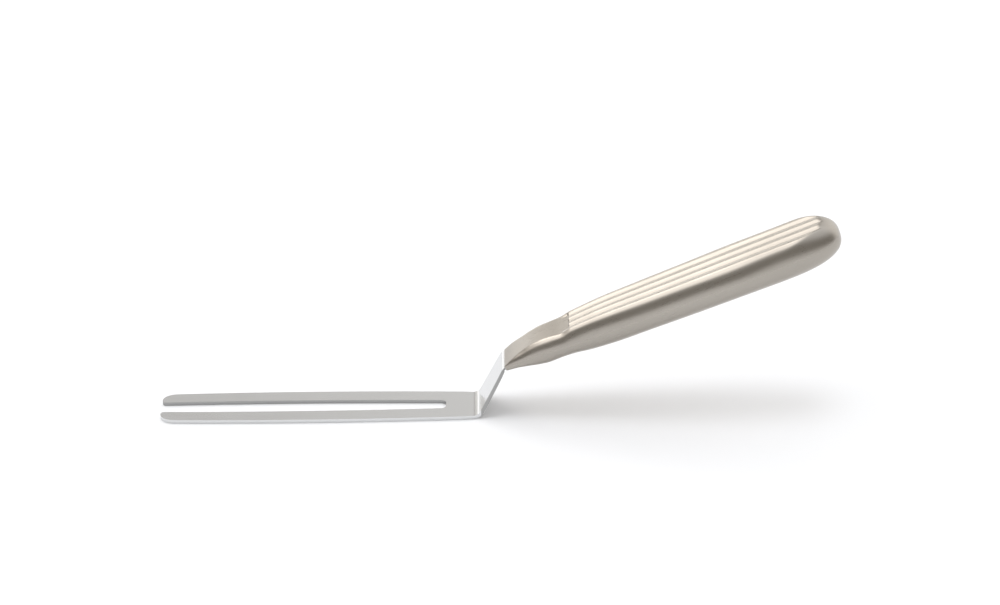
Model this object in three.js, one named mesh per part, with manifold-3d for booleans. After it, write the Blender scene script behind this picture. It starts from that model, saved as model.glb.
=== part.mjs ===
// A cranked plating fork: a slotted sheet blade set in a hollow handle with a reeded top.
// Millimetres, +Z up, X from the tine tips to the butt, Y across. The blade lies flat on Z = 0.
import * as THREE from "three";
import { mergeVertices } from "three/addons/utils/BufferGeometryUtils.js";
import Module from "manifold-3d";

const wasm = await Module();
wasm.setup();

// Blade sheet
const SHEET = 1.4; // thickness
const BLADE_LENGTH = 116.9; // heel bend to tine tips
const HEEL_WIDTH = 18.1;
const MID_WIDTH = 20.3;
const TIP_WIDTH = 18.9;
const WEB_LENGTH = 10.2; // heel bend to the closed end of the slot
const SLOT_ROOT_WIDTH = 6;
const SLOT_MID_WIDTH = 7.8;
const SLOT_TIP_WIDTH = 6.9;
const SLOT_CORNER = 2;
const TIP_ROUND_LENGTH = 5.5; // outer corner of a tine, along it
const TIP_ROUND_WIDTH = 4.4; // and across it
const TIP_INNER_CORNER = 1.3;

// Crank between the blade and the handle
const HEEL_BEND = 3; // inside radius
const RISER_SLOPE = 64; // degrees
const RISER_LENGTH = 18.7; // end of the heel bend to the upper fold
const RISER_WIDTH = 16.5; // toward which its outline bends on the way to the mouth
const FOLD_BEND = 1.5; // inside radius
const MOUTH_SETBACK = 1.38; // upper fold to the handle's mouth
const TANG_WIDTH = 10;
const TANG_LENGTH = 20;
const TANG_PITCH = 9.6; // degrees between the tang and the handle's axis

// Handle
const HANDLE_SLOPE = 23.3; // degrees
const NECK_LENGTH = 27.5; // mouth to the start of the reeds
const GRIP_LENGTH = 80; // start of the reeds to the start of the butt's rounding
const BUTT_LENGTH = 25.5;
const HANDLE_WIDTH = 24; // greatest, at the seam
const PANEL_WIDTH = 14.8; // greatest, between the crests of the outer reeds
const PANEL_RISE = 5.5; // greatest height of the panel over the mouth, square to the axis
const UPPER_DEPTH = 5.85; // greatest drop from the panel to the seam
const LOWER_DEPTH = 9.75; // greatest drop from the seam to the belly
const DOME_HEIGHT = 9.3; // of the dome that cuts off the reeds at the butt, over the seam
const DOME_ACROSS = 2.7; // exponent of the dome across the handle
const DOME_ALONG = 2.85; // and along it
const BELLY_FULLNESS = 2.95; // exponent of the butt's underside seen from the side
const WALL = 0.8;
const LIP = 0.4; // wall at the mouth
const LIP_LENGTH = 8; // over which the lip thickens to the full wall
const MOUTH_LAND = 1.3; // shell beside the tang at the mouth
const MOUTH_EDGE = 0.15; // rounding at the mouth's sides
const MOUTH_SQUARENESS = 4; // exponent of the belly's section at the mouth
const BELLY_SQUARENESS = 2.1; // and along the grip
const TANG_FIT = 0.03; // clearance round the tang
const FILL_FIT = 0.05; // clearance round the filling
const FILL_START = 4; // filling, from the mouth
const FILL_LENGTH = 20;
const SEAM_GAP = 0.02; // between the two half shells

// Reeds on the top panel
const REED_COUNT = 4;
const REED_HEIGHT = 0.55;
const REED_RAMP = 0.8; // length over which a reed takes its shape
const RIM_BEFORE = 3.4; // length over which the shoulder's rim rises before the reeds
const RIM_AFTER = 1.7; // and after their start
const RIM_SPREAD = 0.6; // rim's width before the reeds, as a share of the outer reed's inner side
const GROOVE_SPREAD = 0.62; // outer grooves' distance apart, as a share of the panel's width

// Handle sections. share is the place along the neck or grip, and the rest are shares of the
// handle's greatest sizes: top of PANEL_RISE, crest of PANEL_WIDTH, body of HANDLE_WIDTH,
// upper of UPPER_DEPTH and lower of LOWER_DEPTH.
const NECK_SECTIONS = [
  { share: 0.15, top: 0.312, crest: 0.78, body: 0.592, upper: 0.376, lower: 0.262 },
  { share: 0.29, top: 0.527, crest: 0.662, body: 0.63, upper: 0.504, lower: 0.41 },
  { share: 0.44, top: 0.705, crest: 0.655, body: 0.671, upper: 0.615, lower: 0.574 },
  { share: 0.58, top: 0.795, crest: 0.691, body: 0.709, upper: 0.684, lower: 0.672 },
  { share: 0.73, top: 0.795, crest: 0.73, body: 0.733, upper: 0.73, lower: 0.667 },
  { share: 0.87, top: 0.769, crest: 0.818, body: 0.762, upper: 0.758, lower: 0.662 },
];
const GRIP_SECTIONS = [
  { share: 0, top: 0.811, crest: 0.834, body: 0.775, upper: 0.814, lower: 0.703 },
  { share: 0.05, top: 0.864, crest: 0.845, body: 0.787, upper: 0.863, lower: 0.785 },
  { share: 0.17, top: 0.955, crest: 0.885, body: 0.846, upper: 0.923, lower: 0.887 },
  { share: 0.37, top: 0.973, crest: 0.932, body: 0.912, upper: 0.957, lower: 0.903 },
  { share: 0.6, top: 0.982, crest: 0.973, body: 0.958, upper: 0.966, lower: 0.944 },
  { share: 0.8, top: 1, crest: 1, body: 1, upper: 0.983, lower: 0.959 },
  { share: 1, top: 1, crest: 1, body: 0.958, upper: 1, lower: 1 },
];

// Facets
const CURVE_STEPS = 10;
const NECK_STEPS = 14;
const RAMP_STEPS = 3;
const GRIP_STEPS = 20;
const BUTT_STEPS = 12;
const SIDE_STEPS = 7;
const REED_STEPS = 4;
const BELLY_STEPS = 22;

// Solids
function solidOf(geometry) {
  const bare = geometry.index ? geometry.toNonIndexed() : geometry.clone();
  bare.deleteAttribute("normal");
  bare.deleteAttribute("uv");
  const merged = mergeVertices(bare, 1e-4);
  return new wasm.Manifold(
    new wasm.Mesh({
      numProp: 3,
      vertProperties: new Float32Array(merged.attributes.position.array),
      triVerts: new Uint32Array(merged.index.array),
    }),
  );
}

function geometryOf(solid) {
  const mesh = solid.getMesh();
  const positions = new Float32Array(mesh.numVert * 3);
  for (let i = 0; i < mesh.numVert; i++) {
    const start = i * mesh.numProp;
    positions.set(mesh.vertProperties.subarray(start, start + 3), i * 3);
  }
  const geometry = new THREE.BufferGeometry();
  geometry.setAttribute("position", new THREE.BufferAttribute(positions, 3));
  geometry.setIndex(new THREE.BufferAttribute(new Uint32Array(mesh.triVerts), 1));
  return geometry;
}

// A flat outline in X and Z, drawn out across Y by a half width each way.
function sideways(shape, half) {
  const geometry = new THREE.ExtrudeGeometry(shape, {
    depth: 2 * half,
    bevelEnabled: false,
    curveSegments: CURVE_STEPS,
  });
  return geometry.rotateX(Math.PI / 2).translate(0, half, 0);
}

// The crank's side view: where the sheet's top face bends
const riserAngle = THREE.MathUtils.degToRad(RISER_SLOPE);
const handleAngle = THREE.MathUtils.degToRad(HANDLE_SLOPE);
const tangAngle = handleAngle + THREE.MathUtils.degToRad(TANG_PITCH);
const mouthHalf = TANG_WIDTH / 2 + MOUTH_LAND;
const along = (angle) => new THREE.Vector2(Math.cos(angle), Math.sin(angle));
const over = (angle) => new THREE.Vector2(-Math.sin(angle), Math.cos(angle));
const heelCentre = new THREE.Vector2(0, SHEET + HEEL_BEND);
const riserStart = heelCentre.clone().addScaledVector(over(riserAngle), -HEEL_BEND);
const fold = riserStart.clone().addScaledVector(along(riserAngle), RISER_LENGTH);
const mouthLift = LIP + TANG_FIT;
const mouth = fold
  .clone()
  .addScaledVector(along(tangAngle), MOUTH_SETBACK)
  .addScaledVector(over(handleAngle), mouthLift);

// The sheet's side view from tips to tang, thickened by grow on both faces
function sheetProfile(grow) {
  const reach = FOLD_BEND + SHEET;
  const foldCentre = fold
    .clone()
    .addScaledVector(along(riserAngle), -reach * Math.tan((riserAngle - tangAngle) / 2))
    .addScaledVector(over(riserAngle), -reach);
  const tangEnd = fold.clone().addScaledVector(along(tangAngle), MOUTH_SETBACK + TANG_LENGTH);
  const upper = tangEnd.clone().addScaledVector(over(tangAngle), grow);
  const lower = tangEnd.clone().addScaledVector(over(tangAngle), -SHEET - grow);
  const quarter = Math.PI / 2;
  const shape = new THREE.Shape();
  shape.moveTo(-BLADE_LENGTH, -grow);
  shape.lineTo(0, -grow);
  const outer = HEEL_BEND + SHEET + grow;
  shape.absarc(heelCentre.x, heelCentre.y, outer, -quarter, riserAngle - quarter, false);
  const inner = FOLD_BEND - grow;
  shape.absarc(foldCentre.x, foldCentre.y, inner, riserAngle + quarter, tangAngle + quarter, true);
  shape.lineTo(lower.x, lower.y);
  shape.lineTo(upper.x, upper.y);
  shape.absarc(
    foldCentre.x,
    foldCentre.y,
    reach + grow,
    tangAngle + quarter,
    riserAngle + quarter,
    false,
  );
  const tight = HEEL_BEND - grow;
  shape.absarc(heelCentre.x, heelCentre.y, tight, riserAngle - quarter, -quarter, true);
  shape.lineTo(-BLADE_LENGTH, SHEET + grow);
  shape.closePath();
  return shape;
}

// The sheet seen from above: half of its outline, from the slot's end round to the tang
function planOutline(grow) {
  const tip = -BLADE_LENGTH;
  const web = -WEB_LENGTH;
  const root = SLOT_ROOT_WIDTH / 2;
  const innerTip = SLOT_TIP_WIDTH / 2;
  const outerTip = TIP_WIDTH / 2;
  const heel = HEEL_WIDTH / 2;
  const flare = RISER_WIDTH / 2;
  const shoulder = mouth.x - TANG_FIT;
  const tangHalf = TANG_WIDTH / 2 + grow;
  const tangEnd = mouth.x + TANG_LENGTH;
  const slotBow = SLOT_MID_WIDTH - (root + innerTip) / 2;
  const edgeBow = MID_WIDTH - (heel + outerTip) / 2;
  const path = new THREE.Path();
  path.moveTo(web, 0);
  path.lineTo(web, root - SLOT_CORNER);
  path.absarc(web - SLOT_CORNER, root - SLOT_CORNER, SLOT_CORNER, 0, Math.PI / 2, false);
  path.quadraticCurveTo((tip + web) / 2, slotBow, tip + TIP_INNER_CORNER, innerTip);
  path.absarc(
    tip + TIP_INNER_CORNER,
    innerTip + TIP_INNER_CORNER,
    TIP_INNER_CORNER,
    -Math.PI / 2,
    -Math.PI,
    true,
  );
  path.absellipse(
    tip + TIP_ROUND_LENGTH,
    outerTip - TIP_ROUND_WIDTH,
    TIP_ROUND_LENGTH,
    TIP_ROUND_WIDTH,
    Math.PI,
    Math.PI / 2,
    true,
  );
  path.quadraticCurveTo(tip / 2, edgeBow, -2 * SHEET, heel);
  path.bezierCurveTo(shoulder * 0.37, flare, shoulder * 0.86, flare, shoulder, mouthHalf);
  path.lineTo(shoulder, tangHalf);
  path.lineTo(tangEnd, tangHalf);
  path.lineTo(tangEnd, 0);
  return path.getPoints(CURVE_STEPS);
}

function bladeSheet(grow) {
  const half = planOutline(grow);
  const mirrored = half
    .slice(1, -1)
    .reverse()
    .map((p) => new THREE.Vector2(p.x, -p.y));
  const plan = new THREE.Shape([...half, ...mirrored]);
  const height = fold.y + TANG_LENGTH + SHEET;
  const prism = new THREE.ExtrudeGeometry(plan, { depth: height + SHEET, bevelEnabled: false });
  prism.translate(0, 0, -SHEET);
  const strip = sideways(sheetProfile(grow), Math.max(MID_WIDTH, RISER_WIDTH));
  return solidOf(strip).intersect(solidOf(prism));
}

// Handle sections along its axis, in millimetres
const gripEnd = NECK_LENGTH + GRIP_LENGTH;
const handleLength = gripEnd + BUTT_LENGTH;
const GREATEST = {
  top: PANEL_RISE,
  crest: PANEL_WIDTH / 2,
  body: HANDLE_WIDTH / 2,
  upper: UPPER_DEPTH,
  lower: LOWER_DEPTH,
};
const FIELDS = Object.keys(GREATEST);
const mouthSection = {
  at: 0,
  top: 0,
  crest: mouthHalf,
  body: mouthHalf + MOUTH_EDGE,
  upper: LIP + SHEET / 3,
  lower: LIP + SHEET,
};

function sized(row, start, length) {
  const section = { at: start + row.share * length };
  FIELDS.forEach((field) => (section[field] = row[field] * GREATEST[field]));
  return section;
}

const SECTIONS = [
  mouthSection,
  ...NECK_SECTIONS.map((row) => sized(row, 0, NECK_LENGTH)),
  ...GRIP_SECTIONS.map((row) => sized(row, NECK_LENGTH, GRIP_LENGTH)),
];
const sectionCurve = new THREE.CubicInterpolant(
  Float64Array.from(SECTIONS, (row) => row.at),
  Float64Array.from(SECTIONS.flatMap((row) => FIELDS.map((field) => row[field]))),
  FIELDS.length,
  new Float64Array(FIELDS.length),
);

function sectionAt(place) {
  const values = sectionCurve.evaluate(THREE.MathUtils.clamp(place, 0, gripEnd));
  const section = {};
  FIELDS.forEach((field, i) => (section[field] = values[i]));
  const settled = THREE.MathUtils.smoothstep(place, 0, NECK_LENGTH);
  section.squareness = THREE.MathUtils.lerp(MOUTH_SQUARENESS, BELLY_SQUARENESS, settled);
  return section;
}

const rounded = (share, fullness) => (1 - share ** fullness) ** (1 / fullness);

// One closed section, inset from the outer skin, from the right seam over the top and back below
function ring(place, inset, reeded) {
  const s = sectionAt(place);
  const seam = s.top - s.upper;
  const rise = (from, to) => (reeded ? THREE.MathUtils.smoothstep(place, from, to) : 0);
  const shaped = rise(NECK_LENGTH, NECK_LENGTH + REED_RAMP);
  const rim = REED_HEIGHT * rise(NECK_LENGTH - RIM_BEFORE, NECK_LENGTH + RIM_AFTER);
  const upper = s.upper - inset;
  const crest = s.crest - inset;
  const body = s.body - inset;
  const groove = s.crest * GROOVE_SPREAD;
  const pitch = (2 * groove) / (REED_COUNT - 2);
  const buttShare = THREE.MathUtils.clamp((place - gripEnd) / (BUTT_LENGTH - inset), 0, 1);
  const left = 1 - buttShare ** DOME_ALONG;
  const plan = left ** (1 / DOME_ACROSS);
  const lower = (s.lower - inset) * rounded(buttShare, BELLY_FULLNESS);

  // Height over the seam: inner reeds, then outer reeds up to their crests, then the shoulders
  const skinHeight = (across) => {
    const size = Math.abs(across);
    if (size > crest) {
      return (upper + rim) * Math.sqrt(Math.max(0, 1 - ((size - crest) / (body - crest)) ** 2));
    }
    if (size > groove) {
      const away = (crest - size) / (crest - groove);
      const lip = 1 - THREE.MathUtils.smoothstep(away, 0, RIM_SPREAD);
      return upper + rim * THREE.MathUtils.lerp(lip, 1 - away ** 2, shaped);
    }
    const share = (Math.abs(across + groove) / pitch) % 1;
    return upper + REED_HEIGHT * shaped * 4 * share * (1 - share);
  };
  const domeHeight = (across) =>
    (DOME_HEIGHT - inset) * Math.sqrt(Math.max(0, left - Math.abs(across / body) ** DOME_ACROSS));
  const points = [];
  const put = (across, height) => points.push(new THREE.Vector3(place, across, seam + height));
  const putTop = (across) => {
    const height = skinHeight(across);
    put(across, buttShare > 0 ? Math.min(height, domeHeight(across)) : height);
  };

  const edge = crest * plan;
  const shoulder = (i) => {
    const angle = (Math.PI * i) / (2 * SIDE_STEPS);
    return edge + (body * plan - edge) * Math.cos(angle);
  };
  for (let i = 0; i < SIDE_STEPS; i++) {
    putTop(shoulder(i));
  }
  const steps = REED_COUNT * (reeded ? REED_STEPS : 1);
  const grooveShare = (REED_COUNT - 2) / REED_COUNT;
  const inner = Math.min(groove, edge * 0.9);
  for (let i = 0; i <= steps; i++) {
    const share = 1 - (2 * i) / steps;
    const size = Math.abs(share);
    const beyond = Math.max(0, size - grooveShare) / (1 - grooveShare);
    const reach = (Math.min(size, grooveShare) / grooveShare) * inner + beyond * (edge - inner);
    putTop(Math.sign(share) * reach);
  }
  for (let i = SIDE_STEPS - 1; i >= 0; i--) {
    putTop(-shoulder(i));
  }
  for (let i = 1; i < BELLY_STEPS; i++) {
    const angle = (Math.PI * i) / BELLY_STEPS;
    const power = 2 / s.squareness;
    const across = Math.sign(Math.cos(angle)) * Math.abs(Math.cos(angle)) ** power;
    put(-body * plan * across, -lower * Math.sin(angle) ** power);
  }
  return points;
}

// Skins the sections, closes the near end flat and the far end at a tip or flat
function loft(rings, tip) {
  const count = rings[0].length;
  const positions = rings.flat().flatMap((p) => [p.x, p.y, p.z]);
  const index = [];
  for (let r = 0; r + 1 < rings.length; r++) {
    for (let i = 0; i < count; i++) {
      const a = r * count + i;
      const b = r * count + ((i + 1) % count);
      index.push(a, b, a + count, b, b + count, a + count);
    }
  }
  const close = (ringStart, centre, outward) => {
    const hub = positions.length / 3;
    positions.push(centre.x, centre.y, centre.z);
    for (let i = 0; i < count; i++) {
      const a = ringStart + i;
      const b = ringStart + ((i + 1) % count);
      index.push(...(outward ? [a, b, hub] : [b, a, hub]));
    }
  };
  const middle = (points) =>
    points.reduce((sum, p) => sum.add(p), new THREE.Vector3()).divideScalar(points.length);
  close(0, middle(rings[0]), false);
  close((rings.length - 1) * count, tip ?? middle(rings.at(-1)), true);
  const geometry = new THREE.BufferGeometry();
  geometry.setAttribute("position", new THREE.Float32BufferAttribute(positions, 3));
  geometry.setIndex(index);
  return geometry;
}

const evenly = (from, to, steps) =>
  Array.from({ length: steps }, (_, i) => from + ((to - from) * i) / steps);

function buttPlaces(inset) {
  return Array.from({ length: BUTT_STEPS }, (_, i) => {
    const angle = ((Math.PI / 2) * (i + 0.35)) / BUTT_STEPS;
    return gripEnd + (BUTT_LENGTH - inset) * Math.sin(angle);
  });
}

const straightPlaces = [
  ...evenly(0, NECK_LENGTH, NECK_STEPS),
  ...evenly(NECK_LENGTH, NECK_LENGTH + REED_RAMP, RAMP_STEPS),
  ...evenly(NECK_LENGTH + REED_RAMP, gripEnd, GRIP_STEPS),
];

// The handle's outer body
function handleBody() {
  const rings = [...straightPlaces, ...buttPlaces(0)].map((place) => ring(place, 0, true));
  const last = sectionAt(gripEnd);
  return loft(rings, new THREE.Vector3(handleLength, 0, last.top - last.upper));
}

const wallAt = (place) =>
  THREE.MathUtils.lerp(LIP, WALL, THREE.MathUtils.smoothstep(place, 0, LIP_LENGTH));

// The hollow inside, open at the mouth, less a clearance
function hollow(clearance) {
  const places = [...straightPlaces, ...buttPlaces(WALL + clearance)];
  const rings = places.map((place) => ring(place, wallAt(place) + clearance, false));
  const outside = rings[0].map((p) => p.clone().setX(-MOUTH_SETBACK - SHEET));
  const last = sectionAt(gripEnd);
  const tip = new THREE.Vector3(handleLength - WALL - clearance, 0, last.top - last.upper);
  return loft([outside, ...rings], tip);
}

// Everything above the seam line, or below it, seen from the side
function seamSide(above) {
  const places = [...straightPlaces, gripEnd];
  const shift = above ? SEAM_GAP / 2 : -SEAM_GAP / 2;
  const line = places.map((place) => {
    const s = sectionAt(place);
    return new THREE.Vector2(place, s.top - s.upper + shift);
  });
  line.unshift(new THREE.Vector2(-BUTT_LENGTH, line[0].y));
  line.push(new THREE.Vector2(handleLength + BUTT_LENGTH, line.at(-1).y));
  const far = above ? handleLength : -handleLength;
  const edge = [new THREE.Vector2(line.at(-1).x, far), new THREE.Vector2(line[0].x, far)];
  return sideways(new THREE.Shape([...line, ...edge]), BUTT_LENGTH);
}

// The handle is drawn along its own axis, then turned up to its slope at the mouth.
const placed = (geometry) => geometry.rotateY(-handleAngle).translate(mouth.x, 0, mouth.y);
const body = solidOf(placed(handleBody()));
const cavity = solidOf(placed(hollow(0)));
const tangRoom = solidOf(placed(hollow(TANG_FIT)));
const fillRoom = solidOf(placed(hollow(FILL_FIT)));
const shell = body.subtract(cavity);
const topShell = shell.intersect(solidOf(placed(seamSide(true))));
const bottomShell = shell.intersect(solidOf(placed(seamSide(false))));

// The tang stays inside the hollow; the rest of the sheet stays outside the handle.
const sheet = bladeSheet(0);
const blade = sheet.subtract(body).add(sheet.intersect(tangRoom));

// The filling takes the neck's hollow round the tang.
const slab = new THREE.BoxGeometry(FILL_LENGTH, 2 * BUTT_LENGTH, 2 * BUTT_LENGTH);
slab.translate(FILL_START + FILL_LENGTH / 2, 0, 0);
const filling = fillRoom.intersect(solidOf(placed(slab))).subtract(bladeSheet(FILL_FIT));

// Looks
const bladeSteel = new THREE.MeshStandardMaterial({
  color: 0xc6c6c4,
  metalness: 1,
  roughness: 0.28,
});
const handleSteel = new THREE.MeshStandardMaterial({
  color: 0xcdc7bc,
  metalness: 1,
  roughness: 0.38,
});
const cement = new THREE.MeshStandardMaterial({ color: 0x8d8a84, metalness: 0, roughness: 0.9 });

function named(name, solid, material) {
  const mesh = new THREE.Mesh(geometryOf(solid), material);
  mesh.name = name;
  return mesh;
}

const fork = new THREE.Group();
fork.add(named("fork_blade", blade, bladeSteel));
fork.add(named("handle_top_shell", topShell, handleSteel));
fork.add(named("handle_bottom_shell", bottomShell, handleSteel.clone()));
fork.add(named("tang_cement", filling, cement));

// The origin is under the middle of the fork's length.
const extent = new THREE.Box3().setFromObject(fork);
fork.position.x = -(extent.min.x + extent.max.x) / 2;

export default fork;
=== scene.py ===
"""Looks of a cranked plating fork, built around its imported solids. Metres, +Z up, blade flat on Z = 0."""

import math

import bmesh
import bpy
import numpy as np
from mathutils import Matrix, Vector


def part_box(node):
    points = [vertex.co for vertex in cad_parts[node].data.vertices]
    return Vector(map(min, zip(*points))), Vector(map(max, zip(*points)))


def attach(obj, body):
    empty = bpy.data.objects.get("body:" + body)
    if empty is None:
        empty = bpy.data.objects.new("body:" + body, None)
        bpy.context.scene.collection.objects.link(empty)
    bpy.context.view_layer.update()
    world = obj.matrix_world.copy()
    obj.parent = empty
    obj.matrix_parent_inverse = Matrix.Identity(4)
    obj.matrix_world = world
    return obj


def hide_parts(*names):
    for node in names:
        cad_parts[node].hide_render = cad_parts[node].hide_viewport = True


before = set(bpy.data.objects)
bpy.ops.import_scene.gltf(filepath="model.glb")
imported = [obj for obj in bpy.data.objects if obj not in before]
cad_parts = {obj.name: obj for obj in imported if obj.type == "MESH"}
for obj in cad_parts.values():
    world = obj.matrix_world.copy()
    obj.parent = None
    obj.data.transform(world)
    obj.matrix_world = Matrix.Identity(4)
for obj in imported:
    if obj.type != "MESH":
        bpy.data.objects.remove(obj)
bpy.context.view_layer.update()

MM = 0.001

# Blade sheet, in millimetres
SHEET = 1.4
BLADE_LENGTH = 116.9
HEEL_WIDTH = 18.1
MID_WIDTH = 20.3
TIP_WIDTH = 18.9
WEB_LENGTH = 10.2
SLOT_ROOT_WIDTH = 6
SLOT_MID_WIDTH = 7.8
SLOT_TIP_WIDTH = 6.9
SLOT_CORNER = 2
TIP_ROUND_LENGTH = 5.5
TIP_ROUND_WIDTH = 4.4
TIP_INNER_CORNER = 1.3
EDGE_ROUND = 0.2

# Crank between the blade and the handle
HEEL_BEND = 3
RISER_SLOPE = math.radians(64)
RISER_LENGTH = 18.7
RISER_WIDTH = 16.5
RISER_BOW_START = 0.37  # places of its outline's control points, as shares of the way to the mouth
RISER_BOW_END = 0.86
FOLD_BEND = 1.5
MOUTH_SETBACK = 1.38
TANG_WIDTH = 10
TANG_LENGTH = 20
TANG_PITCH = math.radians(9.6)

# Handle
HANDLE_SLOPE = math.radians(23.3)
NECK_LENGTH = 27.5
GRIP_LENGTH = 80
BUTT_LENGTH = 25.5
HANDLE_WIDTH = 24
PANEL_WIDTH = 14.8
PANEL_RISE = 5.5
UPPER_DEPTH = 5.85
LOWER_DEPTH = 9.75
DOME_HEIGHT = 9.3
DOME_ACROSS = 2.7
DOME_ALONG = 2.85
BELLY_FULLNESS = 2.95
WALL = 0.8
LIP = 0.4
LIP_LENGTH = 8
MOUTH_LAND = 1.3
MOUTH_EDGE = 0.15
MOUTH_SQUARENESS = 4
BELLY_SQUARENESS = 2.1
TANG_FIT = 0.03
REED_COUNT = 4
REED_HEIGHT = 0.55
REED_RAMP = 0.8
RIM_BEFORE = 3.4
RIM_AFTER = 1.7
RIM_SPREAD = 0.6
GROOVE_SPREAD = 0.62
REED_BLEND = 0.4  # rounding where the butt's dome cuts the reeds
BLEND_END = 0.6  # share of the butt over which that rounding grows
GROOVE_LIMIT = 0.9  # farthest place of an outer groove, as a share of the panel's edge
MOUTH_HALF = TANG_WIDTH / 2 + MOUTH_LAND

# Handle sections: share of the neck or grip, then shares of the greatest sizes below
GREATEST = (PANEL_RISE, PANEL_WIDTH / 2, HANDLE_WIDTH / 2, UPPER_DEPTH, LOWER_DEPTH)
MOUTH_SECTION = (0, 0, MOUTH_HALF, MOUTH_HALF + MOUTH_EDGE, LIP + SHEET / 3, LIP + SHEET)
NECK_SECTIONS = [
    (0.15, 0.312, 0.78, 0.592, 0.376, 0.262),
    (0.29, 0.527, 0.662, 0.63, 0.504, 0.41),
    (0.44, 0.705, 0.655, 0.671, 0.615, 0.574),
    (0.58, 0.795, 0.691, 0.709, 0.684, 0.672),
    (0.73, 0.795, 0.73, 0.733, 0.73, 0.667),
    (0.87, 0.769, 0.818, 0.762, 0.758, 0.662),
]
GRIP_SECTIONS = [
    (0, 0.811, 0.834, 0.775, 0.814, 0.703),
    (0.05, 0.864, 0.845, 0.787, 0.863, 0.785),
    (0.17, 0.955, 0.885, 0.846, 0.923, 0.887),
    (0.37, 0.973, 0.932, 0.912, 0.957, 0.903),
    (0.6, 0.982, 0.973, 0.958, 0.966, 0.944),
    (0.8, 1, 1, 1, 0.983, 0.959),
    (1, 1, 1, 0.958, 1, 1),
]

# Facets of the shown meshes
CURVE_STEPS = 24
NECK_STEPS = 56
RAMP_STEPS = 12
GRIP_STEPS = 64
BUTT_STEPS = 44
SIDE_STEPS = 16
REED_STEPS = 14
BELLY_STEPS = 48
FIRST_BUTT_STEP = 0.35  # of a step, from the grip's end to the butt's first ring

# Cross cuts that let the sheet bend, in millimetres
FIRST_CUT = 6  # from the tine tips
BLADE_CUT = 4
HEEL_CUT = 0.15
HEEL_MARGIN = 0.2  # past the end of the heel bend
RISER_CUT = 0.5
FOLD_CUT = 0.12
FOLD_BEFORE = 2  # close cuts before the fold
FOLD_AFTER = 1  # and after it
TANG_CUT = 2
PAST_END = 2  # of the side view beyond both ends of the sheet
ON_CUT = 1e-5  # distance at which a point lies on a cut
MERGE = 1e-4  # distance at which two points become one
TINY = 1e-9  # keeps a divisor from zero

# Part coordinates start at the heel bend; the tine tips give their place in the frame.
HEEL_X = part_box("fork_blade")[0].x + BLADE_LENGTH * MM


def in_frame(points):
    """Part millimetres to frame metres."""
    moved = np.asarray(points, float) * MM
    moved[..., 0] += HEEL_X
    return moved


def smoothstep(value, low, high):
    share = np.clip((value - low) / (high - low), 0, 1)
    return share * share * (3 - 2 * share)


# Side view of the crank: the sheet's top face
def along(angle):
    return np.array([math.cos(angle), math.sin(angle)])


def over(angle):
    return np.array([-math.sin(angle), math.cos(angle)])


TANG_ANGLE = HANDLE_SLOPE + TANG_PITCH
heel_centre = np.array([0, SHEET + HEEL_BEND])
riser_start = heel_centre - HEEL_BEND * over(RISER_SLOPE)
fold = riser_start + RISER_LENGTH * along(RISER_SLOPE)
mouth = fold + MOUTH_SETBACK * along(TANG_ANGLE) + (LIP + TANG_FIT) * over(HANDLE_SLOPE)
reach = FOLD_BEND + SHEET
fold_centre = (
    fold
    - reach * math.tan((RISER_SLOPE - TANG_ANGLE) / 2) * along(RISER_SLOPE)
    - reach * over(RISER_SLOPE)
)


def arc(centre, radius, start, end):
    angles = np.linspace(start, end, CURVE_STEPS)
    return [centre + radius * along(a) for a in angles]


def face_curve(depth):
    """The side view of one face of the sheet, depth below its top face, as X and Z lists."""
    quarter = math.pi / 2
    tang_end = fold + (MOUTH_SETBACK + TANG_LENGTH) * along(TANG_ANGLE)
    points = [np.array([-BLADE_LENGTH - PAST_END, SHEET - depth])]
    points += arc(heel_centre, HEEL_BEND + depth, -quarter, RISER_SLOPE - quarter)
    points += arc(fold_centre, reach - depth, RISER_SLOPE + quarter, TANG_ANGLE + quarter)
    points.append(tang_end - depth * over(TANG_ANGLE) + PAST_END * along(TANG_ANGLE))
    points = np.array(points)
    return points[:, 0], points[:, 1]


TOP_FACE = face_curve(0)
UNDER_FACE = face_curve(SHEET)


# The sheet seen from above
def bow(start, control, end, steps):
    """A quadratic curve without its first point."""
    share = np.linspace(0, 1, steps + 1)[1:, None]
    start, control, end = map(np.array, (start, control, end))
    return list((1 - share) ** 2 * start + 2 * share * (1 - share) * control + share**2 * end)


def cubic(start, first, second, end, steps):
    """A cubic curve without its first point."""
    share = np.linspace(0, 1, steps + 1)[1:, None]
    a, b, c, d = map(np.array, (start, first, second, end))
    rest = 1 - share
    return list(rest**3 * a + 3 * rest**2 * share * b + 3 * rest * share**2 * c + share**3 * d)


def corner(centre, radii, start, end):
    angles = np.linspace(start, end, CURVE_STEPS)
    return [np.array(centre) + np.array(radii) * along(a) for a in angles]


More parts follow.
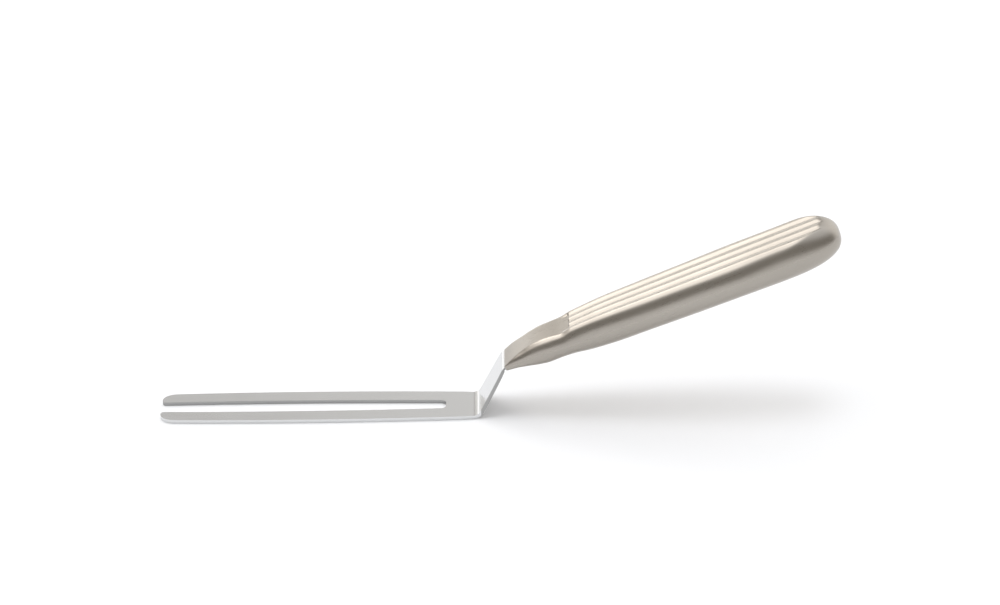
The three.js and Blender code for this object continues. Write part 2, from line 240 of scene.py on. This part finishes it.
def half_outline():
    """From the slot's closed end round a tine, the riser and the tang, on the +Y side."""
    tip, web = -BLADE_LENGTH, -WEB_LENGTH
    root, inner_tip, outer_tip = SLOT_ROOT_WIDTH / 2, SLOT_TIP_WIDTH / 2, TIP_WIDTH / 2
    heel, flare = HEEL_WIDTH / 2, RISER_WIDTH / 2
    shoulder = mouth[0] - TANG_FIT
    tang_end = mouth[0] + TANG_LENGTH
    slot_bow = SLOT_MID_WIDTH - (root + inner_tip) / 2
    edge_bow = MID_WIDTH - (heel + outer_tip) / 2
    quarter = math.pi / 2
    line = [np.array([web, 0.0])]
    line += corner((web - SLOT_CORNER, root - SLOT_CORNER), (SLOT_CORNER,) * 2, 0, quarter)
    inner_end = (tip + TIP_INNER_CORNER, inner_tip)
    line += bow(line[-1], ((tip + web) / 2, slot_bow), inner_end, 2 * CURVE_STEPS)
    inner_centre = (tip + TIP_INNER_CORNER, inner_tip + TIP_INNER_CORNER)
    line += corner(inner_centre, (TIP_INNER_CORNER,) * 2, -quarter, -math.pi)[1:]
    outer_centre = (tip + TIP_ROUND_LENGTH, outer_tip - TIP_ROUND_WIDTH)
    line += corner(outer_centre, (TIP_ROUND_LENGTH, TIP_ROUND_WIDTH), math.pi, quarter)
    line += bow(line[-1], (tip / 2, edge_bow), (-2 * SHEET, heel), 2 * CURVE_STEPS)
    first = (shoulder * RISER_BOW_START, flare)
    second = (shoulder * RISER_BOW_END, flare)
    line += cubic(line[-1], first, second, (shoulder, MOUTH_HALF), 2 * CURVE_STEPS)
    half = TANG_WIDTH / 2
    line += [np.array(p) for p in ((shoulder, half), (tang_end, half), (tang_end, 0.0))]
    return np.array(line)


def blade_mesh():
    half = half_outline()
    mirrored = half[1:-1][::-1] * (1, -1)
    outline = np.vstack([half, mirrored])
    bm = bmesh.new()
    bm.faces.new([bm.verts.new((x, y, 0)) for x, y in outline])
    heel_end = (HEEL_BEND + SHEET) * math.sin(RISER_SLOPE) + HEEL_MARGIN
    cuts = np.concatenate([
        np.arange(-BLADE_LENGTH + FIRST_CUT, 0, BLADE_CUT),
        np.arange(0, heel_end, HEEL_CUT),
        np.arange(heel_end + RISER_CUT, fold[0] - FOLD_BEFORE, RISER_CUT),
        np.arange(fold[0] - FOLD_BEFORE, fold[0] + FOLD_AFTER, FOLD_CUT),
        np.arange(fold[0] + TANG_CUT, mouth[0] + TANG_LENGTH - TANG_CUT / 2, TANG_CUT),
    ])
    for place in cuts:
        parts = bm.verts[:] + bm.edges[:] + bm.faces[:]
        bmesh.ops.bisect_plane(bm, geom=parts, plane_co=(place, 0, 0), plane_no=(1, 0, 0), dist=ON_CUT)
    bmesh.ops.remove_doubles(bm, verts=bm.verts[:], dist=MERGE)
    lid = bmesh.ops.duplicate(bm, geom=bm.verts[:] + bm.edges[:] + bm.faces[:])
    top_verts = [g for g in lid["geom"] if isinstance(g, bmesh.types.BMVert)]
    top_edges = [g for g in lid["geom"] if isinstance(g, bmesh.types.BMEdge)]
    below = {vert: lid["vert_map"][vert] for vert in top_verts}
    for vert, low in below.items():
        low.co.z = np.interp(low.co.x, *UNDER_FACE)
        vert.co.z = np.interp(vert.co.x, *TOP_FACE)
    for edge in [e for e in top_edges if len(e.link_faces) == 1]:
        a, b = edge.verts
        bm.faces.new((a, b, below[b], below[a]))
    bmesh.ops.recalc_face_normals(bm, faces=bm.faces[:])
    mesh = bpy.data.meshes.new("fork_blade_sheet")
    for vert in bm.verts:
        vert.co = in_frame(vert.co)
    bm.to_mesh(mesh)
    bm.free()
    return mesh


# Handle sections along its axis
GRIP_END = NECK_LENGTH + GRIP_LENGTH
HANDLE_LENGTH = GRIP_END + BUTT_LENGTH


def sized(rows, start, length):
    return [(start + row[0] * length, *np.multiply(row[1:], GREATEST)) for row in rows]


TABLE = np.array(
    [MOUTH_SECTION]
    + sized(NECK_SECTIONS, 0, NECK_LENGTH)
    + sized(GRIP_SECTIONS, NECK_LENGTH, GRIP_LENGTH)
)
SECANTS = np.diff(TABLE[:, 1:], axis=0) / np.diff(TABLE[:, 0])[:, None]
TANGENTS = np.vstack([SECANTS[:1], (SECANTS[:-1] + SECANTS[1:]) / 2, SECANTS[-1:]])


def section_at(place):
    """Panel level, crest and body half widths, upper and lower depth at one place."""
    place = min(max(place, 0), GRIP_END)
    i = min(int(np.searchsorted(TABLE[:, 0], place, side="right")) - 1, len(TABLE) - 2)
    span = TABLE[i + 1, 0] - TABLE[i, 0]
    p = (place - TABLE[i, 0]) / span
    return (
        (2 * p**3 - 3 * p**2 + 1) * TABLE[i, 1:]
        + (p**3 - 2 * p**2 + p) * span * TANGENTS[i]
        + (3 * p**2 - 2 * p**3) * TABLE[i + 1, 1:]
        + (p**3 - p**2) * span * TANGENTS[i + 1]
    )


def rounded(share, fullness):
    return (1 - share**fullness) ** (1 / fullness)


def ring(place, inset, reeded):
    """One section, from the +Y seam over the top to the -Y seam and back below."""
    top, full_crest, full_body, upper, lower = section_at(place)
    seam = top - upper
    shaped, rim = 0, 0
    if reeded:
        shaped = smoothstep(place, NECK_LENGTH, NECK_LENGTH + REED_RAMP)
        rim = REED_HEIGHT * smoothstep(place, NECK_LENGTH - RIM_BEFORE, NECK_LENGTH + RIM_AFTER)
    upper -= inset
    crest, body = full_crest - inset, full_body - inset
    groove = full_crest * GROOVE_SPREAD
    butt = min(max((place - GRIP_END) / (BUTT_LENGTH - inset), 0), 1)
    left = 1 - butt**DOME_ALONG
    plan = left ** (1 / DOME_ACROSS)
    lower = (lower - inset) * rounded(butt, BELLY_FULLNESS)

    edge = crest * plan
    side = edge + (body * plan - edge) * np.cos(math.pi / 2 * np.arange(SIDE_STEPS) / SIDE_STEPS)
    steps = REED_COUNT * REED_STEPS
    share = 1 - 2 * np.arange(steps + 1) / steps
    groove_share = (REED_COUNT - 2) / REED_COUNT
    inner = min(groove, edge * GROOVE_LIMIT)
    within = np.minimum(np.abs(share), groove_share) / groove_share
    beyond = np.maximum(0, np.abs(share) - groove_share) / (1 - groove_share)
    panel = np.sign(share) * (within * inner + beyond * (edge - inner))
    across = np.concatenate([side, panel, -side[::-1]])

    size = np.abs(across)
    shoulder = np.sqrt(np.clip(1 - ((size - crest) / (body - crest)) ** 2, 0, 1))
    phase = np.abs(across + groove) * (REED_COUNT - 2) / (2 * groove) % 1
    away = (crest - size) / (crest - groove)
    lip = 1 - smoothstep(away, 0, RIM_SPREAD)
    outer_reed = rim * (lip + (1 - away**2 - lip) * shaped)
    inner_reed = REED_HEIGHT * shaped * 4 * phase * (1 - phase)
    lid = upper + np.where(size > groove, outer_reed, inner_reed)
    height = np.where(size > crest, (upper + rim) * shoulder, lid)
    if butt > 0:
        dome = (DOME_HEIGHT - inset) * np.sqrt(np.maximum(0, left - (size / body) ** DOME_ACROSS))
        blend = REED_BLEND * smoothstep(butt, 0, BLEND_END) + TINY
        blend = blend * np.clip(height / upper, 0, 1) + TINY
        eased = np.maximum(blend - np.abs(dome - height), 0) ** 2 / (4 * blend)
        height = np.maximum(0, np.minimum(dome, height) - eased)

    settled = smoothstep(place, 0, NECK_LENGTH)
    power = 2 / (MOUTH_SQUARENESS + (BELLY_SQUARENESS - MOUTH_SQUARENESS) * settled)
    turn = np.pi * np.arange(1, BELLY_STEPS) / BELLY_STEPS
    belly = -body * plan * np.sign(np.cos(turn)) * np.abs(np.cos(turn)) ** power
    depth = -lower * np.sin(turn) ** power
    widths, heights = np.concatenate([across, belly]), np.concatenate([height, depth])
    return np.column_stack([np.full(len(widths), place), widths, seam + heights])


def handle_in_frame(points):
    """Handle axis coordinates, turned up to the handle's slope at the mouth."""
    points = np.asarray(points, float)
    cos, sin = math.cos(HANDLE_SLOPE), math.sin(HANDLE_SLOPE)
    turned = np.stack([
        mouth[0] + points[..., 0] * cos - points[..., 2] * sin,
        points[..., 1],
        mouth[1] + points[..., 0] * sin + points[..., 2] * cos,
    ], -1)
    return in_frame(turned)


def wall_at(place):
    return LIP + (WALL - LIP) * smoothstep(place, 0, LIP_LENGTH)


def skin(inset_of, reeded, end_inset):
    """Rings of the whole handle and the tip that closes its butt, in the frame."""
    butt_angles = (math.pi / 2) * (np.arange(BUTT_STEPS) + FIRST_BUTT_STEP) / BUTT_STEPS
    shares = np.concatenate([
        np.linspace(0, NECK_LENGTH, NECK_STEPS, endpoint=False),
        np.linspace(NECK_LENGTH, NECK_LENGTH + REED_RAMP, RAMP_STEPS, endpoint=False),
        np.linspace(NECK_LENGTH + REED_RAMP, GRIP_END, GRIP_STEPS, endpoint=False),
    ])
    places = np.concatenate([shares, GRIP_END + (BUTT_LENGTH - end_inset) * np.sin(butt_angles)])
    rings = np.array([ring(place, inset_of(place), reeded) for place in places])
    end = section_at(GRIP_END)
    tip = np.array([HANDLE_LENGTH - end_inset, 0, end[0] - end[3]])
    return handle_in_frame(rings), handle_in_frame(tip)


def smooth_normals(rings, tip):
    """Vertex normals of the closed skin, by face area, and the tip's."""
    normals = np.zeros_like(rings)
    a = rings[:-1]
    b = np.roll(a, -1, axis=1)
    c = rings[1:]
    d = np.roll(c, -1, axis=1)
    facing = np.cross(d - a, c - b)
    normals[:-1] += facing + np.roll(facing, 1, axis=1)
    normals[1:] += facing + np.roll(facing, 1, axis=1)
    last = rings[-1]
    fan = np.cross(np.roll(last, -1, axis=0) - last, tip - last)
    normals[-1] += fan + np.roll(fan, 1, axis=0)
    normals /= np.linalg.norm(normals, axis=2, keepdims=True)
    axis = np.array([math.cos(HANDLE_SLOPE), 0, math.sin(HANDLE_SLOPE)])
    if normals[NECK_STEPS, 0, 1] < 0:
        normals = -normals
    return normals, axis


def shell_mesh(name, columns):
    """A half shell between two seams, with its inner face and rims, smooth across the seams."""
    outer, outer_tip = skin(lambda place: 0, True, 0)
    inner, inner_tip = skin(wall_at, False, WALL)
    normals, axis = smooth_normals(outer, outer_tip)
    inner_normals = -smooth_normals(inner, inner_tip)[0]
    rows, width = len(outer), len(columns)
    verts, points, faces, loops = [], [], [], []

    def add(grid, tip, facing, tip_facing, flip):
        start = len(verts)
        verts.extend(grid[:, columns].reshape(-1, 3))
        points.extend(facing[:, columns].reshape(-1, 3))
        verts.append(tip)
        points.append(tip_facing)
        end = len(verts) - 1
        for r in range(rows - 1):
            for k in range(width - 1):
                a = start + r * width + k
                quad = [a, a + 1, a + width + 1, a + width]
                faces.append(quad[::-1] if flip else quad)
        last = start + (rows - 1) * width
        for k in range(width - 1):
            corner_face = [last + k, last + k + 1, end]
            faces.append(corner_face[::-1] if flip else corner_face)
        return start, end

    out_start, out_end = add(outer, outer_tip, normals, axis, False)
    in_start, in_end = add(inner, inner_tip, inner_normals, -axis, True)
    for face in faces:
        loops.extend(points[i] for i in face)
    smooth_count = len(faces)

    edge_out = [out_start + r * width for r in range(rows)] + [out_end]
    edge_in = [in_start + r * width for r in range(rows)] + [in_end]
    far_out = [out_start + r * width + width - 1 for r in range(rows)] + [out_end]
    far_in = [in_start + r * width + width - 1 for r in range(rows)] + [in_end]
    for i in range(rows):
        faces.append([edge_out[i], edge_out[i + 1], edge_in[i + 1], edge_in[i]])
        faces.append([far_out[i + 1], far_out[i], far_in[i], far_in[i + 1]])
    for k in range(width - 1):
        faces.append([out_start + k + 1, out_start + k, in_start + k, in_start + k + 1])
    for face in faces[smooth_count:]:
        corners = [np.asarray(verts[i]) for i in face]
        facing = np.cross(corners[2] - corners[0], corners[3] - corners[1])
        facing /= np.linalg.norm(facing) + TINY**2
        loops.extend([facing] * len(face))

    mesh = bpy.data.meshes.new(name)
    mesh.from_pydata([tuple(v) for v in verts], [], faces)
    mesh.shade_smooth()
    mesh.normals_split_custom_set([tuple(n) for n in loops])
    mesh.update()
    return mesh


def add_piece(name, mesh, node, material):
    piece = bpy.data.objects.new(name, mesh)
    bpy.context.scene.collection.objects.link(piece)
    mesh.materials.append(material)
    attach(piece, "root")
    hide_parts(node)
    return piece


# Materials
SLOT_EDGE = (SLOT_MID_WIDTH / 2 + 0.6) * MM  # half width that takes in the slot's walls
GRAIN = (60, 5200, 5200)  # fineness along the grain and across it
MARKS = 70  # fineness of the handling marks
CLOUD = 18  # fineness of the change of tint
EDGE_WEAR = 0.6 * MM
EDGE_POLISH = 0.08
BUMP_STRENGTH = 0.35
# Painted shade: upright cut faces in the slot and on the riser take the darker cut colour, standing in for
# the shade and dim reflection on them.
UPRIGHT = (0.3, 0.15)  # lean of a face where the cut colour starts and where it is full
# Painted shade: the handle's hollows take the darker groove colour by pointiness, standing in for the shade
# that falls in the grooves.
HOLLOW = (0.487, 0.445)  # pointiness where the groove colour starts and where it is full


def link(tree, source, target):
    tree.links.new(source, target)


def steel(name, colour, tint, rough, rough_spread, turn, grain_depth, cut=None, groove=None):
    """Satin steel: fine grain along the piece, faint handling marks, and painted shade on upright cut faces
    and in grooves.
    """
    material = bpy.data.materials.new(name)
    material.use_nodes = True
    tree = material.node_tree
    tree.nodes.clear()
    new = tree.nodes.new
    out = new("ShaderNodeOutputMaterial")
    shader = new("ShaderNodeBsdfPrincipled")
    shader.inputs["Metallic"].default_value = 1
    shader.inputs["IOR"].default_value = 2.5
    link(tree, shader.outputs[0], out.inputs["Surface"])

    coords = new("ShaderNodeTexCoord")
    turned = new("ShaderNodeMapping")
    turned.inputs["Rotation"].default_value = (0, turn, 0)
    link(tree, coords.outputs["Object"], turned.inputs["Vector"])

    def noise(scale, detail, stretch=None):
        node = new("ShaderNodeTexNoise")
        node.inputs["Scale"].default_value = scale
        node.inputs["Detail"].default_value = detail
        source = turned.outputs[0]
        if stretch:
            stretched = new("ShaderNodeMapping")
            stretched.inputs["Scale"].default_value = stretch
            link(tree, source, stretched.inputs["Vector"])
            source = stretched.outputs[0]
        link(tree, source, node.inputs["Vector"])
        return node.outputs["Fac"]

    def ramp(source, low, high, to_low, to_high):
        node = new("ShaderNodeMapRange")
        node.inputs["From Min"].default_value = low
        node.inputs["From Max"].default_value = high
        node.inputs["To Min"].default_value = to_low
        node.inputs["To Max"].default_value = to_high
        link(tree, source, node.inputs["Value"])
        return node.outputs["Result"]

    def math_node(kind, first, second):
        node = new("ShaderNodeMath")
        node.operation = kind
        for socket, value in zip(node.inputs, (first, second)):
            if isinstance(value, (int, float)):
                socket.default_value = value
            else:
                link(tree, value, socket)
        return node.outputs[0]

    def axes(source):
        node = new("ShaderNodeSeparateXYZ")
        link(tree, source, node.inputs[0])
        return node.outputs

    def mixed_in(under, shade, factor):
        node = new("ShaderNodeMix")
        node.data_type = "RGBA"
        node.inputs["B"].default_value = (*shade, 1)
        link(tree, factor, node.inputs["Factor"])
        link(tree, under, node.inputs["A"])
        return node.outputs["Result"]

    grain = noise(1, 3, GRAIN)
    marks = noise(MARKS, 4)
    cloud = noise(CLOUD, 2)

    bevel = new("ShaderNodeBevel")
    bevel.samples = 4
    bevel.inputs["Radius"].default_value = EDGE_WEAR
    geometry = new("ShaderNodeNewGeometry")
    match = new("ShaderNodeVectorMath")
    match.operation = "DOT_PRODUCT"
    link(tree, bevel.outputs[0], match.inputs[0])
    link(tree, geometry.outputs["Normal"], match.inputs[1])
    edge = ramp(match.outputs["Value"], 0.995, 0.9, 0, 1)

    base = new("ShaderNodeMix")
    base.data_type = "RGBA"
    base.inputs["A"].default_value = (*tint, 1)
    base.inputs["B"].default_value = (*colour, 1)
    link(tree, ramp(cloud, 0.35, 0.65, 0, 1), base.inputs["Factor"])
    metal = base.outputs["Result"]
    # Painted shade on the blade: upright faces within the slot's walls or on the riser are mixed toward the
    # cut colour.
    if cut:
        lean = math_node("ABSOLUTE", axes(geometry.outputs["True Normal"])["Z"], 0)
        place = axes(coords.outputs["Object"])
        in_slot = math_node("LESS_THAN", math_node("ABSOLUTE", place["Y"], 0), SLOT_EDGE)
        on_riser = math_node("GREATER_THAN", place["X"], HEEL_X + HEEL_BEND * MM)
        painted_shade_zone = math_node("MAXIMUM", in_slot, on_riser)
        metal = mixed_in(metal, cut, math_node("MULTIPLY", ramp(lean, *UPRIGHT, 0, 1), painted_shade_zone))
    # Painted shade in the grooves and other concave places, by pointiness
    if groove:
        metal = mixed_in(metal, groove, ramp(geometry.outputs["Pointiness"], *HOLLOW, 0, 1))
    link(tree, metal, shader.inputs["Base Color"])

    roughness = math_node("ADD", rough, ramp(grain, 0.3, 0.7, -rough_spread, rough_spread))
    roughness = math_node("ADD", roughness, ramp(marks, 0.4, 0.75, 0, rough_spread))
    roughness = math_node("SUBTRACT", roughness, math_node("MULTIPLY", edge, EDGE_POLISH))
    link(tree, roughness, shader.inputs["Roughness"])

    bump = new("ShaderNodeBump")
    bump.inputs["Strength"].default_value = BUMP_STRENGTH
    bump.inputs["Distance"].default_value = grain_depth
    link(tree, grain, bump.inputs["Height"])
    link(tree, bump.outputs[0], shader.inputs["Normal"])
    return material


def cement():
    material = bpy.data.materials.new("tang_cement_looks")
    material.use_nodes = True
    tree = material.node_tree
    shader = tree.nodes["Principled BSDF"]
    shader.inputs["Roughness"].default_value = 0.9
    coords = tree.nodes.new("ShaderNodeTexCoord")
    grit = tree.nodes.new("ShaderNodeTexNoise")
    grit.inputs["Scale"].default_value = 900
    grit.inputs["Detail"].default_value = 5
    shade = tree.nodes.new("ShaderNodeValToRGB")
    shade.color_ramp.elements[0].color = (0.2, 0.19, 0.18, 1)
    shade.color_ramp.elements[1].color = (0.33, 0.32, 0.3, 1)
    bump = tree.nodes.new("ShaderNodeBump")
    bump.inputs["Distance"].default_value = 0.0001
    link(tree, coords.outputs["Object"], grit.inputs["Vector"])
    link(tree, grit.outputs["Fac"], shade.inputs["Fac"])
    link(tree, shade.outputs["Color"], shader.inputs["Base Color"])
    link(tree, grit.outputs["Fac"], bump.inputs["Height"])
    link(tree, bump.outputs[0], shader.inputs["Normal"])
    return material


blade_steel = steel(
    "blade_steel_looks",
    colour=(0.715, 0.72, 0.725),
    tint=(0.7, 0.705, 0.71),
    rough=0.22,
    rough_spread=0.03,
    turn=0,
    grain_depth=0.006 * MM,
    # cut: painted shade colour for the slot walls and the riser's edges
    cut=(0.36, 0.36, 0.355),
)
handle_steel = steel(
    "handle_steel_looks",
    colour=(0.411, 0.382, 0.344),
    tint=(0.391, 0.363, 0.326),
    rough=0.3,
    rough_spread=0.04,
    turn=HANDLE_SLOPE,
    grain_depth=0.008 * MM,
    # groove: painted shade colour for the handle's hollows
    groove=(0.342, 0.315, 0.28),
)

# Pieces
blade = add_piece("blade_sheet", blade_mesh(), "fork_blade", blade_steel)
blade.data.shade_smooth()
rounding = blade.modifiers.new("edge_rounding", "BEVEL")
rounding.width = EDGE_ROUND * MM
rounding.segments = 3
rounding.limit_method = "ANGLE"
rounding.angle_limit = math.radians(50)
weighted = blade.modifiers.new("flat_faces", "WEIGHTED_NORMAL")
weighted.weight = 100

TOP_COLUMNS = 2 * SIDE_STEPS + REED_COUNT * REED_STEPS + 1
RING_COLUMNS = TOP_COLUMNS + BELLY_STEPS - 1
top_columns = list(range(TOP_COLUMNS))
belly_columns = list(range(TOP_COLUMNS - 1, RING_COLUMNS)) + [0]
add_piece(
    "grip_top", shell_mesh("grip_top", top_columns), "handle_top_shell", handle_steel
)
add_piece(
    "grip_belly",
    shell_mesh("grip_belly", belly_columns),
    "handle_bottom_shell",
    handle_steel,
)
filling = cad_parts["tang_cement"]
filling.data.materials.clear()
filling.data.materials.append(cement())

# Floor: white where the picture shows it, and pale grey farther to the front: painted shade standing in for
# light that falls off toward the front.
FLOOR_HALF = 20
FLOOR_DROP = 0.05 * MM
FLOOR_WHITE = (0.9, 0.906, 0.92, 1)
FLOOR_FRONT_SHADE = (0.6, 0.595, 0.59, 1)
FADE_START = -0.14
FADE_END = -0.5


def paper():
    material = bpy.data.materials.new("floor_white")
    material.use_nodes = True
    tree = material.node_tree
    shader = tree.nodes["Principled BSDF"]
    shader.inputs["Roughness"].default_value = 0.9
    shader.inputs["Specular IOR Level"].default_value = 0
    coords = tree.nodes.new("ShaderNodeTexCoord")
    place = tree.nodes.new("ShaderNodeSeparateXYZ")
    # Painted shade: the floor fades toward grey by its Y place, toward the front
    fade = tree.nodes.new("ShaderNodeMapRange")
    fade.interpolation_type = "SMOOTHSTEP"
    fade.inputs["From Min"].default_value = FADE_START
    fade.inputs["From Max"].default_value = FADE_END
    tone = tree.nodes.new("ShaderNodeMix")
    tone.data_type = "RGBA"
    tone.inputs["A"].default_value = FLOOR_WHITE
    tone.inputs["B"].default_value = FLOOR_FRONT_SHADE
    link(tree, coords.outputs["Object"], place.inputs[0])
    link(tree, place.outputs["Y"], fade.inputs["Value"])
    link(tree, fade.outputs["Result"], tone.inputs["Factor"])
    link(tree, tone.outputs["Result"], shader.inputs["Base Color"])
    return material


floor_mesh = bpy.data.meshes.new("floor")
floor_mesh.from_pydata(
    [(x * FLOOR_HALF, y * FLOOR_HALF, -FLOOR_DROP) for x, y in ((-1, -1), (1, -1), (1, 1), (-1, 1))],
    [],
    [(0, 1, 2, 3)],
)
floor_mesh.materials.append(paper())
floor = bpy.data.objects.new("floor", floor_mesh)
bpy.context.scene.collection.objects.link(floor)

# Studio light: soft patches on a dim room. Each has its elevation and azimuth in degrees (from +Y
# toward +X), the angles where it starts to fade and ends, its level and its colour.
ROOM = (0.353, 0.336, 0.313)
NEUTRAL = (1, 1, 1)
WARM = (1, 0.975, 0.94)
COOL = (0.96, 1, 1.06)
PATCHES = [
    (4, -13, 4, 16, 1.75, NEUTRAL),
    (3, -29, 4, 15, 1.3, NEUTRAL),
    (29, -4, 6, 20, 0.06, NEUTRAL),
    (35, -35, 4, 17, 3.4, WARM),
    (46, -52, 4, 22, 1.9, WARM),
    (54, -95, 6, 30, 1.75, WARM),
    (15, 45, 15, 65, 0.94, NEUTRAL),
    (90, 0, 20, 60, 0.63, COOL),
    (72, 0, 4, 16, 0.7, COOL),
]


def studio():
    world = bpy.data.worlds.new("studio")
    world.use_nodes = True
    tree = world.node_tree
    tree.nodes.clear()
    direction = tree.nodes.new("ShaderNodeTexCoord")
    background = tree.nodes.new("ShaderNodeBackground")
    out = tree.nodes.new("ShaderNodeOutputWorld")
    link(tree, background.outputs[0], out.inputs["Surface"])

    def vector_node(kind):
        node = tree.nodes.new("ShaderNodeVectorMath")
        node.operation = kind
        return node

    light = vector_node("ADD")
    light.inputs[0].default_value = ROOM
    light.inputs[1].default_value = (0, 0, 0)
    for elevation, azimuth, start, end, level, tone in PATCHES:
        up, side = math.radians(elevation), math.radians(azimuth)
        toward = vector_node("DOT_PRODUCT")
        toward.inputs[1].default_value = (
            math.cos(up) * math.sin(side), math.cos(up) * math.cos(side), math.sin(up)
        )
        link(tree, direction.outputs["Generated"], toward.inputs[0])
        angle = tree.nodes.new("ShaderNodeMath")
        angle.operation = "ARCCOSINE"
        link(tree, toward.outputs["Value"], angle.inputs[0])
        fade = tree.nodes.new("ShaderNodeMapRange")
        fade.interpolation_type = "SMOOTHSTEP"
        fade.inputs["From Min"].default_value = math.radians(start)
        fade.inputs["From Max"].default_value = math.radians(end)
        fade.inputs["To Min"].default_value = level
        fade.inputs["To Max"].default_value = 0
        link(tree, angle.outputs[0], fade.inputs["Value"])
        patch = vector_node("SCALE")
        patch.inputs[0].default_value = tone
        link(tree, fade.outputs["Result"], patch.inputs["Scale"])
        total = vector_node("ADD")
        link(tree, light.outputs[0], total.inputs[0])
        link(tree, patch.outputs[0], total.inputs[1])
        light = total
    link(tree, light.outputs[0], background.inputs["Color"])
    return world


bpy.context.scene.world = studio()

# Lamp straight above, soft enough for the shadow's wide edge and kept out of reflections
LAMP_LEVEL = 0.5
LAMP_SPREAD = math.radians(19)
LAMP_HEIGHT = 1
lamp = bpy.data.objects.new("lamp", bpy.data.lights.new("lamp", "SUN"))
bpy.context.scene.collection.objects.link(lamp)
lamp.data.energy = LAMP_LEVEL
lamp.data.color = COOL
lamp.data.angle = LAMP_SPREAD
lamp.location.z = LAMP_HEIGHT
lamp.visible_glossy = False

# Camera at the photograph's angle
SENSOR_WIDTH = 36
LENS = 115.2
NEAREST = 0.01
FARTHEST = 100
CAMERA_PLACE = (HEEL_X + 0.010471, -1.031284, 0.616312)
CAMERA_TILT = math.radians(61)
CAMERA_ROLL = -0.0115
camera = bpy.data.objects.new("camera", bpy.data.cameras.new("camera"))
bpy.context.scene.collection.objects.link(camera)
camera.data.sensor_fit = "HORIZONTAL"
camera.data.sensor_width = SENSOR_WIDTH
camera.data.lens = LENS
camera.data.clip_start = NEAREST
camera.data.clip_end = FARTHEST
camera.matrix_world = (
    Matrix.Translation(CAMERA_PLACE)
    @ Matrix.Rotation(CAMERA_TILT, 4, "X")
    @ Matrix.Rotation(CAMERA_ROLL, 4, "Z")
)
bpy.context.scene.camera = camera
bpy.context.scene.view_settings.view_transform = "Standard"

bpy.context.view_layer.update()
